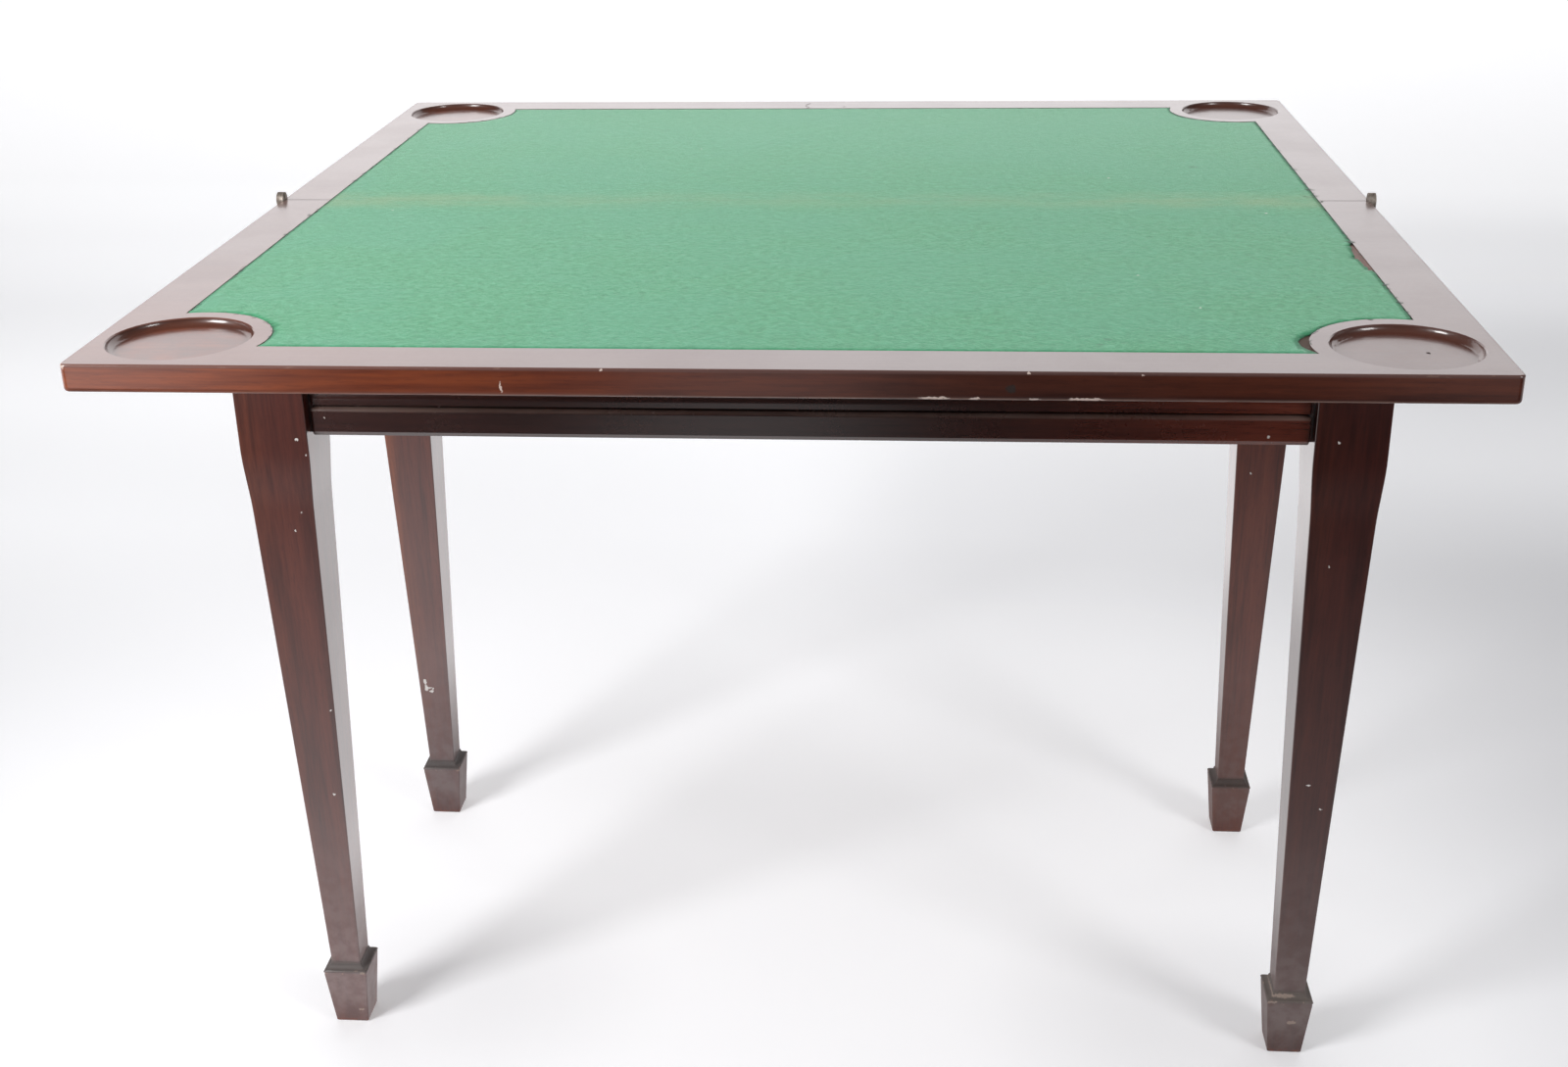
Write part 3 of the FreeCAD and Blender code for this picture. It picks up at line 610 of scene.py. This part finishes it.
def leg_levels():
    """Heights and widths of a leg from the top down to the floor."""
    foot_start = foot_rim_height + foot_rim_thickness + foot_cove + foot_fillet
    levels = [(frame_top, leg_block), (block_end, leg_block)]
    levels += shoulder_levels()
    levels.append((foot_start, shaft_bottom))
    levels.append((foot_start - foot_fillet * 0.3, shaft_bottom + 2 * foot_fillet * 0.7))
    width = shaft_bottom + 2 * foot_fillet
    top = foot_rim_height + foot_rim_thickness + foot_cove
    for step in range(9):
        angle = math.pi / 2 * step / 8
        out = 2 * foot_cove * (1 - math.cos(angle))
        levels.append((top - foot_cove * math.sin(angle), width + out))
    width += 2 * foot_cove
    top -= foot_cove
    for step in range(1, 7):
        part = step / 6
        swell = foot_rim_lip * math.sin(math.pi * min(part, 0.86))
        levels.append((top - foot_rim_thickness * part, width + 2 * swell))
    levels.append((foot_rim_height - 0.0016, width + 2 * (foot_rim_lip - foot_rim_ease)))
    levels.append((0.0012, foot_bottom + 0.0004))
    levels.append((0.0, foot_bottom - 0.0014))
    return levels


def square_bar(levels):
    """A square bar through the levels, from the last one up."""
    mesh = bmesh.new()
    height, width = levels[-1]
    bmesh.ops.create_grid(mesh, x_segments=1, y_segments=1, size=width / 2)
    ring = mesh.edges[:]
    for next_height, next_width in reversed(levels[:-1]):
        grown = bmesh.ops.extrude_edge_only(mesh, edges=ring)["geom"]
        ring = only(bmesh.types.BMEdge, grown)
        corners = only(bmesh.types.BMVert, grown)
        scale = next_width / width
        bmesh.ops.scale(mesh, vec=(scale, scale, 1), verts=corners)
        bmesh.ops.translate(mesh, vec=(0, 0, next_height - height), verts=corners)
        height, width = next_height, next_width
    bmesh.ops.contextual_create(mesh, geom=ring)
    return mesh


def leg(node, material):
    """A leg in place of its CAD node, with eased arrises and a softened foot."""
    low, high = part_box(node)
    mesh = square_bar(leg_levels())
    upright = [e for e in mesh.edges if abs(e.verts[0].co.z - e.verts[1].co.z) > 1e-6]
    eased = bmesh.ops.bevel(
        mesh, geom=upright, offset=leg_arris, offset_type="OFFSET", affect="EDGES",
        segments=3, profile=0.5, material=-1)
    for edge in eased["edges"]:
        run = edge.verts[1].co - edge.verts[0].co
        edge.smooth = abs(run.z) < math.hypot(run.x, run.y)
    middle = ((low.x + high.x) / 2, (low.y + high.y) / 2, 0)
    bmesh.ops.translate(mesh, vec=middle, verts=mesh.verts)
    piece = piece_from(mesh, "dressed_" + node, material)
    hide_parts(node)
    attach(piece, "frame")


# Baize


def cloth_edge_waver(x, y):
    """How far the cut edge of the cloth falls short, in metres."""
    place = Vector((x * 28, y * 28, 3.7))
    long_waves = 0.0005 * noise.noise(place * 1.6)
    short_waves = 0.0022 * noise.noise(place * 9)
    return max(0.0, long_waves + short_waves - 0.0003)


def torn(x, y):
    """How far the torn stretch at the right is drawn back, in metres."""
    part = (y - torn_middle) / torn_half
    if x < 0 or abs(part) >= 1:
        return 0.0
    uneven = 0.8 + 0.3 * noise.noise(Vector((7.1, y * 160, 0)))
    return torn_reach * (1 - part * part) * uneven


def peeled(x, y):
    """How far the cloth is drawn back beside the front right well, in metres."""
    if x < 0 or y > 0:
        return 0.0
    turn = math.atan2(y + well_y, well_x - x) / peeled_turn - 0.35
    return peeled_reach * max(0.0, 1 - turn * turn)


def baize_sheet(material):
    """One continuous cloth over both leaves, cut round the wells."""
    mesh = bmesh.new()
    steps = round(2 * cloth_half / cloth_step)
    cloth_depth = -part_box("baize_front_half")[0].y
    bmesh.ops.create_grid(mesh, x_segments=steps, y_segments=steps, size=1)
    bite = well_radius + well_collar + 0.0004
    gone = []
    for vert in mesh.verts:
        x, y = vert.co.x * cloth_half, vert.co.y * cloth_depth
        corner = Vector((math.copysign(well_x, x), math.copysign(well_y, y)))
        reach = (Vector((x, y)) - corner).length
        outside = x - (cloth_half - torn(x, y))
        if reach < bite + peeled(x, y) - cloth_step * 0.55 or outside > cloth_step * 0.45:
            gone.append(vert)
        vert.co = (x, y, cloth_top)
    bmesh.ops.delete(mesh, geom=gone, context="VERTS")
    rim = mesh.verts.layers.float.new("rim")
    for vert in mesh.verts:
        x, y = vert.co.x, vert.co.y
        corner = Vector((math.copysign(well_x, x), math.copysign(well_y, y)))
        away = Vector((x, y)) - corner
        rim_radius = bite + peeled(x, y)
        if vert.is_boundary and away.length < rim_radius + cloth_step:
            away = away.normalized() * (rim_radius - 0.0003 + cloth_edge_waver(x, y))
            vert.co = (corner.x + away.x, corner.y + away.y, cloth_top)
        elif vert.is_boundary:
            back = cloth_edge_waver(x, y) + torn(x, y)
            if abs(x) > cloth_half - torn(x, y) - cloth_step * 0.56:
                vert.co.x = math.copysign(cloth_half + 0.00024 - back, x)
            if abs(y) > cloth_depth - 1e-5:
                vert.co.y -= math.copysign(back, y)
        vert[rim] = 1.0 if vert.is_boundary else 0.0
    for vert in mesh.verts:
        place = Vector((vert.co.x * 45, vert.co.y * 45, 0.3))
        dip = cloth_dip * (noise.noise(place) + 0.5 * noise.noise(place * 3))
        if vert.is_boundary:
            dip += cloth_rim_dip
        vert.co.z -= abs(dip)
    piece = piece_from(mesh, "baize", material)
    solid = piece.modifiers.new("thickness", "SOLIDIFY")
    solid.thickness = cloth_thickness
    solid.offset = -1
    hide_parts("baize_front_half", "baize_back_half")
    return piece


# Threads, lint and a hair


def thread(mesh, points, wide, thick, sides=6):
    """A thread through the points, flattened where it lies, closed at both ends."""
    frames = []
    for number, point in enumerate(points):
        before, after = max(number - 1, 0), min(number + 1, len(points) - 1)
        ahead = points[after] - points[before]
        turn = ahead.to_track_quat("Z", "Y").to_matrix().to_4x4()
        frames.append(Matrix.Translation(point) @ turn)
    start = frames[0] @ Matrix.Diagonal((wide, thick, 1, 1))
    ring = bmesh.ops.create_circle(
        mesh, cap_ends=True, segments=sides, radius=0.5, matrix=start)["verts"]
    edges = list({edge for vert in ring for edge in vert.link_edges})
    for before, after in zip(frames, frames[1:]):
        grown = bmesh.ops.extrude_edge_only(mesh, edges=edges)["geom"]
        edges = only(bmesh.types.BMEdge, grown)
        corners = only(bmesh.types.BMVert, grown)
        bmesh.ops.transform(mesh, matrix=after @ before.inverted(), verts=corners)
    bmesh.ops.contextual_create(mesh, geom=edges)


def stray(draw, start, heading, length, curl=0.5, steps=4):
    """Points of a short thread that wanders from its start."""
    points = [start]
    for step in range(steps):
        heading += draw.uniform(-curl, curl)
        ahead = Vector((math.cos(heading), math.sin(heading), 0))
        points.append(points[-1] + ahead * (length / steps))
    return points


def frays(name, body, sign, tufts, material):
    """Loose threads along the cut edges of half the cloth; sign is the half's side in Y."""
    draw = random.Random(name)
    mesh = bmesh.new()
    for side in (-1, 1):
        for number in range(70 if side > 0 else 46):
            y = draw.uniform(0.010, well_y - 0.064)
            heading = draw.choice((-1, 1)) * math.pi / 2 + draw.uniform(-0.5, 0.5)
            inset = draw.uniform(-0.0006, 0.0009)
            length = draw.uniform(0.0015, 0.0038)
            if noise.noise(Vector((y * 30, side * 5.3, sign))) < -0.05:
                continue
            start = Vector((side * (cloth_half - inset), sign * y, thread_level))
            points = stray(draw, start, heading, length)
            thread(mesh, points, draw.uniform(0.0004, 0.0009), thread_thickness)
        for number in range(16):
            turn = draw.uniform(math.radians(100), math.radians(260))
            reach = well_radius + well_collar - draw.uniform(-0.0002, 0.0010)
            heading = turn + math.pi / 2 + draw.uniform(-0.4, 0.4)
            spot_x = side * (well_x + reach * math.cos(turn))
            spot_y = sign * (well_y - reach * abs(math.sin(turn)))
            if side < 0:
                heading = math.pi - heading
            if abs(spot_x) > cloth_half:
                continue
            spot = Vector((spot_x, spot_y, thread_level))
            points = stray(draw, spot, sign * heading, draw.uniform(0.002, 0.004))
            thread(mesh, points, 0.0005, thread_thickness)
    for x, y, count, reach in tufts:
        for number in range(count):
            start_x = x + draw.uniform(-0.001, 0.001)
            start_y = y + draw.uniform(-0.0012, 0.0012)
            length = reach * draw.uniform(0.6, 1.2)
            heading = draw.uniform(-math.pi, math.pi)
            points = stray(draw, Vector((start_x, start_y, thread_level)), heading, length, 0.9)
            thread(mesh, points, 0.0008, thread_thickness)
    piece = piece_from(mesh, name, material)
    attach(piece, body)
    return piece


def lint(name, body, places, material):
    """Small white flecks of fluff on the cloth."""
    mesh = bmesh.new()
    for x, y, size in places:
        flat = Matrix.Diagonal((size, size * 0.7, lint_thickness, 1))
        at = Matrix.Translation((x, y, lint_level)) @ flat
        bmesh.ops.create_icosphere(mesh, subdivisions=1, radius=1, matrix=at)
    piece = piece_from(mesh, name, material)
    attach(piece, body)


def hair(name, points, material):
    """A hair or thread that lies on the back border."""
    mesh = bmesh.new()
    points = [Vector((x, y, hair_level)) for x, y in points]
    thread(mesh, points, hair_width, hair_thickness)
    piece = piece_from(mesh, name, material)
    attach(piece, "flap")


# Stage, lamps and camera


def seen_glow(finish, x, y, z):
    """The stage's glow to the camera: brighter towards the wall and in front, with painted shade
    beside and behind the table and round the feet.
    """
    far = finish.band(finish.math("ADD", y, z), 0.9, 3.2, floor_glow, wall_glow)
    near = finish.band(y, -1.1, -0.35, 0.16, 0.0)
    within = finish.band(finish.math("ABSOLUTE", x), 2.3, 3.2, 1.0, 0.0)
    low = finish.times(
        finish.band(z, 0.03, 0.13, 1.0, 0.45), finish.band(z, 0.15, 0.45, 1.0, 0.55), within)
    # Painted shade on the floor to the right and left of the table, under its middle and behind it,
    # weaker up the wall
    right = finish.math(
        "ADD", finish.band(y, 0.2, 1.3, 0.42, 0.0), finish.band(y, 1.2, 2.0, 0.0, 0.32))
    right = finish.times(right, finish.band(x, 0.30, 1.0))
    centre = finish.times(finish.band(x, -0.15, 0.15, 0.0, 0.10), finish.band(y, 0.5, 0.9))
    right = finish.times(finish.math("ADD", right, centre), low)
    left = finish.math(
        "ADD", finish.band(y, 0.3, 1.0, 0.29, -0.05), finish.band(y, 1.4, 2.2, 0.0, 0.30))
    left = finish.times(left, finish.band(x, -1.3, -0.4, 1.0, 0.0), low)
    behind = finish.times(
        finish.band(y, 0.3, 0.9, 0.0, 0.13), finish.band(y, 1.0, 3.0, 1.0, 0.0), within)

    # Shade round the feet, which stand 0.35 m to either side and 0.18 m before and behind
    foot_x = finish.math("SUBTRACT", finish.math("ABSOLUTE", x), 0.35)
    foot_y = finish.math("ABSOLUTE", finish.math("SUBTRACT", y, 0.02))
    from_foot = finish.length(foot_x, finish.math("SUBTRACT", foot_y, 0.18))
    painted_foot_shadow = finish.times(
        finish.band(from_foot, 0.02, 0.24, 0.15, 0.0), finish.band(y, -0.05, 0.1, 1.0, 0.0))
    return finish.math("SUBTRACT", finish.math("ADD", far, near), left, right, behind, painted_foot_shadow)


def mirrored_glow(finish, x, y, z):
    """The stage's glow in the polish: dim in front, with brighter ends and middle."""
    dark_side = finish.band(x, -0.9, 0.7, -0.42, 0.15)
    lit = finish.band(finish.math("SUBTRACT", y, dark_side), -1.9, 0.45, 0.02, 1.15)
    beside = finish.times(finish.band(x, -0.1, 0.25, 0.0, 0.4), finish.band(y, 0.6, 0.95, 1.0, 0.0))
    lit = finish.times(lit, finish.math("SUBTRACT", 1.0, beside))
    lift = 1.22
    low_legs = finish.times(
        finish.band(y, -1.5, -0.4, 0.45, lift), finish.band(y, -0.1, 0.3, 1.0, 1 / lift))
    lit = finish.times(lit, low_legs)
    in_front = finish.band(y, -2.35, -2.1, 1.0, 0.0)
    left_end = finish.times(in_front, finish.band(x, -1.44, -1.02, 1.9, 0.0))
    right_end = finish.times(in_front, finish.band(x, 0.80, 1.05, 0.0, 0.33))
    middle = finish.math("ABSOLUTE", finish.math("ADD", x, 0.22))
    middle = finish.band(middle, 0.05, 0.38, 0.50, 0.0)
    lit = finish.math("MAXIMUM", lit, left_end, right_end, middle)
    lit = finish.times(lit, finish.band(x, 0.2, 1.6, 1.0, 0.88))
    return finish.math("ADD", lit, finish.band(z, 0.05, 0.9, 0.0, 0.18))


def pale_sweep():
    """Pale paper with a glow of its own, one for the camera and one for the polish."""
    finish = Finish("pale_sweep")
    finish.set(Base_Color=(0.795, 0.795, 0.815, 1), Roughness=0.9, Specular_IOR_Level=0.1)
    rays = finish.node("LightPath").outputs
    place = [finish.axis(name) for name in "XYZ"]
    seen = finish.times(rays["Is Camera Ray"], seen_glow(finish, *place))
    finish.set(Emission_Color=(0.99, 0.99, 1.0, 1), Emission_Strength=seen)
    strength = mirrored_glow(finish, *place)
    glow = finish.node("Emission", {"Color": (1.0, 0.972, 0.98, 1), "Strength": strength})
    mirrored = finish.math("MAXIMUM", rays["Is Glossy Ray"], rays["Is Transmission Ray"])
    mixed = finish.node("MixShader", {
        0: mirrored, 1: finish.shader.outputs[0], 2: glow.outputs[0]})
    output = finish.tree.nodes["Material Output"]
    finish.tree.links.new(mixed.outputs[0], output.inputs["Surface"])
    return finish.material


def stage():
    """A pale floor that sweeps up into a backdrop."""
    mesh = bmesh.new()
    half_width, front, back, sweep, top, steps = 4.5, -3.5, 3.4, 1.2, 3.4, 12
    points = [Vector((0, front, 0)), Vector((0, back - sweep, 0))]
    for step in range(1, steps + 1):
        angle = math.pi / 2 * step / steps
        rise = sweep * (1 - math.cos(angle))
        points.append(Vector((0, back - sweep + sweep * math.sin(angle), rise)))
    points.append(Vector((0, back, top)))
    verts = [mesh.verts.new(point - X * half_width) for point in points]
    edges = [mesh.edges.new(pair) for pair in zip(verts, verts[1:])]
    grown = bmesh.ops.extrude_edge_only(mesh, edges=edges)["geom"]
    far_side = only(bmesh.types.BMVert, grown)
    bmesh.ops.translate(mesh, vec=X * 2 * half_width, verts=far_side)
    floor = piece_from(mesh, "floor", pale_sweep())


def softbox(name, place, aim, width, height, power, seen_in_gloss=True):
    """A soft rectangular lamp that faces a point."""
    lamp = bpy.data.lights.new(name, "AREA")
    lamp.shape = "RECTANGLE"
    lamp.size = width
    lamp.size_y = height
    lamp.energy = power
    made = bpy.data.objects.new(name, lamp)
    place = Vector(place)
    turn = (Vector(aim) - place).to_track_quat("-Z", "Y")
    made.matrix_world = Matrix.Translation(place) @ turn.to_matrix().to_4x4()
    made.visible_camera = False
    made.visible_glossy = seen_in_gloss
    bpy.context.scene.collection.objects.link(made)


def lamps():
    """Two lamps in front, one overhead and one behind."""
    softbox("left_softbox", (-1.5, -1.35, 1.45), (-0.1, 0, 0.55), 0.75, 0.9, 38)
    softbox("right_softbox", (1.9, -1.5, 1.6), (0.1, 0, 0.5), 0.7, 0.85, 18)
    softbox("top_softbox", (0, 0.1, 2.6), (0, 0, 0), 2.6, 2.0, 30, False)
    softbox("back_softbox", (0, 2.5, 1.35), (0, 0, 0.9), 5.0, 1.9, 34, False)


def room():
    """White light from all round."""
    world = bpy.data.worlds.new("studio")
    world.use_nodes = True
    tree = world.node_tree
    rays = tree.nodes.new("ShaderNodeLightPath")
    missing = tree.nodes.new("ShaderNodeMath")
    missing.operation = "MULTIPLY"
    missing.inputs[1].default_value = room_not_mirrored
    strength = tree.nodes.new("ShaderNodeMapRange")
    strength.inputs["To Min"].default_value = room_light
    strength.inputs["To Max"].default_value = room_seen
    left = tree.nodes.new("ShaderNodeMath")
    left.operation = "SUBTRACT"
    background = tree.nodes["Background"]
    background.inputs["Color"].default_value = (0.97, 0.98, 1.0, 1)
    tree.links.new(rays.outputs["Is Camera Ray"], strength.inputs["Value"])
    tree.links.new(rays.outputs["Is Glossy Ray"], missing.inputs[0])
    tree.links.new(strength.outputs["Result"], left.inputs[0])
    tree.links.new(missing.outputs[0], left.inputs[1])
    tree.links.new(left.outputs[0], background.inputs["Strength"])
    bpy.context.scene.world = world


def camera():
    """The camera at the photograph's place."""
    ahead = Vector((
        -math.sin(camera_yaw) * math.cos(camera_pitch),
        math.cos(camera_yaw) * math.cos(camera_pitch),
        -math.sin(camera_pitch)))
    level = Vector((math.cos(camera_yaw), math.sin(camera_yaw), 0))
    up = level.cross(ahead)
    across = math.cos(camera_roll) * level + math.sin(camera_roll) * up
    upright = math.cos(camera_roll) * up - math.sin(camera_roll) * level
    data = bpy.data.cameras.new("camera")
    data.sensor_width = 36
    data.lens = data.sensor_width * focal_pixels / image_width
    data.clip_end = 50
    made = bpy.data.objects.new("camera", data)
    turn = Matrix((across, upright, -ahead)).transposed().to_4x4()
    made.matrix_world = Matrix.Translation(camera_place) @ turn
    bpy.context.scene.collection.objects.link(made)
    bpy.context.scene.camera = made


# Assembly

sides = ("front", "back", "left", "right")
corners = ("front_left", "front_right", "back_left", "back_right")

top_wood = top_mahogany()
for name in ("front_leaf", "back_leaf"):
    dress(nodes[name], top_wood)

# Specks of paint and scuffs are rows of place across the leg, height, half width and half height
# The dirt colour is that of the dust at the foot, partly a painted reflection of the floor
leg_looks = {
    "front_left": {
        "tone": (0.080, 0.014, 0.0075, 1), "warm": 0.11,
        "dirt": (0.33, 0.265, 0.26, 1), "flared": (0.080, 0.078, 0.074, 1),
        "specks": [
            (-0.001, 0.609, 0.0008, 0.0008), (0.019, 0.566, 0.0013, 0.0012),
            (0.025, 0.553, 0.0008, 0.0008), (0.0147, 0.503, 0.0007, 0.0007),
            (0.0077, 0.487, 0.0008, 0.0008), (0.017, 0.322, 0.0009, 0.0014),
            (0.010, 0.239, 0.0011, 0.0013)],
        "scuffs": [(0.016, 0.0555, 0.0024, 0.0012), (0.010, 0.014, 0.0030, 0.0012)],
    },
    "front_right": {
        "tone": (0.048, 0.007, 0.004, 1), "warm": 0.05,
        "dirt": (0.240, 0.198, 0.190, 1), "flared": (0.115, 0.100, 0.088, 1),
        "specks": [
            (-0.0095, 0.572, 0.0009, 0.0010), (-0.007, 0.469, 0.0008, 0.0009),
            (-0.004, 0.271, 0.0014, 0.0009), (0.008, 0.248, 0.0014, 0.0010)],
        "scuffs": [
            (0.003, 0.034, 0.0042, 0.0022), (-0.006, 0.0600, 0.0110, 0.0016),
            (-0.015, 0.0560, 0.0040, 0.0010)],
    },
    "back_left": {
        "tone": (0.088, 0.017, 0.010, 1), "warm": 0.32,
        "dirt": (0.22, 0.190, 0.190, 1), "flared": (0.075, 0.072, 0.070, 1),
        "specks": [
            (-0.0092, 0.1585, 0.0016, 0.0036), (-0.0086, 0.1515, 0.0022, 0.0034),
            (-0.0047, 0.1515, 0.0024, 0.0010), (-0.0035, 0.1478, 0.0028, 0.0013),
            (-0.0013, 0.1505, 0.0009, 0.0010)],
        "scuffs": [],
    },
    "back_right": {
        "tone": (0.11, 0.019, 0.008, 1), "warm": 0.1,
        "dirt": (0.19, 0.140, 0.130, 1), "flared": (0.055, 0.050, 0.046, 1),
        "specks": [(-0.008, 0.406, 0.0009, 0.0010)],
        "scuffs": [],
    },
}
for number, corner in enumerate(corners):
    low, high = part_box("leg_" + corner)
    centre = Vector(((low.x + high.x) / 2, low.y + 0.01, 0))
    move = (number * 0.37, 0.2, 0)
    polish = leg_mahogany("mahogany_leg_" + corner, move, centre, **leg_looks[corner])
    leg("leg_" + corner, polish)

for side in sides:
    along = "X" if side in ("front", "back") else "Y"
    polish = rail_mahogany("mahogany_rail_" + side, along)
    for name in ("rail_" + side, "moulding_lower_" + side, "moulding_upper_" + side):
        dress(nodes[name], polish)

beech = inner_beech()
dress(nodes["centre_bearer"], beech)
for side in ("left", "right"):
    for name in ("slide_guide_", "slide_runner_"):
        dress(nodes[name + side], beech)
for corner in corners:
    dress(nodes["corner_brace_" + corner], beech)

brass = aged_brass()
for side in ("left", "right"):
    for name in ("hinge_front_", "hinge_back_", "hinge_pin_"):
        dress(nodes[name + side], brass)
for name in ("hinge_screws_front", "hinge_screws_back"):
    dress(nodes[name], brass)
steel = dull_steel()
for name in ("guide_screws", "brace_screws", "runner_screws"):
    dress(nodes[name], steel)

cloth = baize_sheet(baize_cloth())
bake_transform(cloth)
fray_cotton = thread_cotton(
    "frayed_baize_thread", (0.010, 0.020, 0.014, 1), (0.025, 0.065, 0.038, 1))

# Tufts of torn threads: place, how many and how long
front_tufts = [
    (0.4165, -0.004, 4, 0.003), (0.4155, -0.136, 12, 0.004), (0.4155, -0.255, 7, 0.003),
    (0.4155, -0.300, 6, 0.003), (-0.4160, -0.055, 6, 0.003), (-0.4155, -0.120, 6, 0.003)]
back_tufts = [
    (0.414, 0.041, 9, 0.003), (0.4170, 0.041, 7, 0.003), (0.4155, 0.018, 6, 0.003),
    (0.409, 0.013, 2, 0.008), (0.4160, 0.120, 5, 0.003), (-0.4160, 0.075, 7, 0.003),
    (-0.4155, 0.215, 5, 0.003)]
loose = [
    frays("frayed_threads_front", "sliding_leaf", -1, front_tufts, fray_cotton),
    frays("frayed_threads_back", "flap", 1, back_tufts, fray_cotton),
]

fluff = white_fluff()
lint("lint_front", "sliding_leaf", [
    (0.366, -0.044, 0.0013), (0.246, -0.233, 0.0010),
    (0.280, -0.315, 0.0010), (-0.351, -0.038, 0.0009)], fluff)
lint("lint_back", "flap", [(0.251, 0.085, 0.0012), (-0.12, 0.21, 0.0008)], fluff)
hair_brown = thread_cotton("brown_hair", (0.05, 0.03, 0.025, 1), (0.12, 0.08, 0.06, 1))
hair("stray_hair", [
    (-0.031, 0.443), (-0.0345, 0.436), (-0.035, 0.428),
    (-0.031, 0.421), (-0.033, 0.415)], hair_brown)
hair("short_thread", [(0.005, 0.428), (0.006, 0.4255), (0.0045, 0.422)], hair_brown)

stage()
lamps()
room()
camera()
bpy.context.scene.view_settings.view_transform = "Standard"
